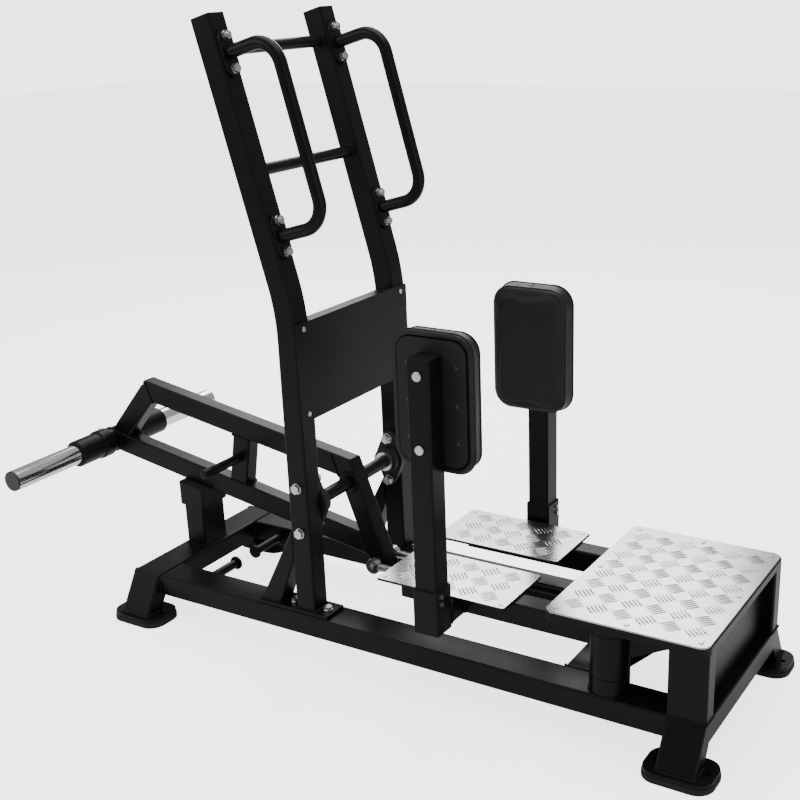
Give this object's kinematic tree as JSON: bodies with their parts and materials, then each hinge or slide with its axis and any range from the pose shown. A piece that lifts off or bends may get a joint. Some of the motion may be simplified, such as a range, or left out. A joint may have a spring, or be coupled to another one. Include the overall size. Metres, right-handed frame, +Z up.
{
  "type": "standing hip abductor machine",
  "caption": "Plate-loaded gym machine: two swinging foot arms with upright thigh pads, driven through rods by a weight lever between tall uprights, with a step platform.",
  "frame": {"origin": "on the floor under the middle of the machine's overall length and width", "axes": "+X from the weight horns to the step platform, +Y to the user's right as they face the handles, +Z up"},
  "size_m": [1.742, 0.704, 1.3833],
  "materials": {
    "powder_coat": "satin black powder coat",
    "zinc": "bright zinc plate",
    "chrome": "polished chrome plate",
    "ground_steel": "ground steel",
    "tread_plate": "bright five-bar tread",
    "black_rubber": "moulded rubber",
    "pad_vinyl": "grained upholstery vinyl",
    "pad_back": "covered backing board",
    "cast_housing": "painted casting",
    "end_cap": "moulded plastic"
  },
  "bodies": {
    "base_frame": {"side_rail_left": "powder_coat", "side_rail_right": "powder_coat", "middle_cross_member": "powder_coat", "rear_cross_beam": "powder_coat", "front_cross_beam": "powder_coat", "foot_plates": "powder_coat", "rubber_feet": "black_rubber", "platform_tray": "powder_coat", "platform_tread": "tread_plate", "platform_screws": "zinc", "portal_frame": "powder_coat", "portal_back_plate": "powder_coat", "pivot_posts": "powder_coat", "pivot_brackets": "powder_coat", "pivot_pins": "ground_steel", "upright_left": "powder_coat", "upright_right": "powder_coat", "brace_left": "powder_coat", "brace_right": "powder_coat", "upright_base_plates": "powder_coat", "base_bolts": "zinc", "cross_rungs": "powder_coat", "handle_left": "powder_coat", "handle_right": "powder_coat", "handle_bolts": "zinc", "front_panel": "powder_coat", "panel_screws": "zinc", "stop_post": "powder_coat", "stop_bumper": "black_rubber", "band_pegs": "powder_coat", "bearing_housings": "cast_housing", "bearing_bolts": "zinc"},
    "weight_lever": {"bearing_inserts": "ground_steel", "pivot_shaft": "powder_coat", "lever_frame": "powder_coat", "lift_peg": "powder_coat", "horns": "chrome", "horn_collars": "powder_coat", "collar_screws": "zinc", "horn_caps": "end_cap", "lever_rod_pins": "zinc"},
    "left_arm": {"arm_frame_left": "powder_coat", "foot_tread_left": "tread_plate", "pad_post_left": "powder_coat", "pad_board_left": "pad_back", "pad_left": "pad_vinyl", "arm_fasteners_left": "zinc", "crank_pin_left": "zinc"},
    "right_arm": {"arm_frame_right": "powder_coat", "foot_tread_right": "tread_plate", "pad_post_right": "powder_coat", "pad_board_right": "pad_back", "pad_right": "pad_vinyl", "arm_fasteners_right": "zinc", "crank_pin_right": "zinc"},
    "left_rod": {"rod_ends_left": "zinc", "push_rod_left": "powder_coat"},
    "right_rod": {"rod_ends_right": "zinc", "push_rod_right": "powder_coat"}
  },
  "joints": [
    {"name": "lever_pivot", "type": "hinge", "parent": "base_frame", "child": "weight_lever", "pos_m": [-0.094, 0, 0.357], "axis": [0, 1, 0], "range_deg": [0, 20]},
    {"name": "left_arm_swing", "type": "hinge", "parent": "base_frame", "child": "left_arm", "pos_m": [0.626, -0.18, 0.194], "axis": [0, 0, 1], "range_deg": [0, 27]},
    {"name": "right_arm_swing", "type": "hinge", "parent": "base_frame", "child": "right_arm", "pos_m": [0.626, 0.18, 0.194], "axis": [0, 0, -1], "range_deg": [0, 27]},
    {"name": "left_rod_turn", "type": "hinge", "parent": "left_arm", "child": "left_rod", "pos_m": [0.66353, -0.03994, 0.1705], "axis": [0, 0.042, 0.9991], "range_deg": [-27, 0]},
    {"name": "right_rod_turn", "type": "hinge", "parent": "right_arm", "child": "right_rod", "pos_m": [0.66353, 0.03994, 0.1705], "axis": [0, -0.042, 0.9991], "range_deg": [0, 27]}
  ],
  "couplings": [
    {"joint": "left_arm_swing", "follows": "lever_pivot", "ratio": 1.35},
    {"joint": "right_arm_swing", "follows": "lever_pivot", "ratio": 1.35},
    {"joint": "left_rod_turn", "follows": "lever_pivot", "ratio": -1.35},
    {"joint": "right_rod_turn", "follows": "lever_pivot", "ratio": 1.35}
  ]
}
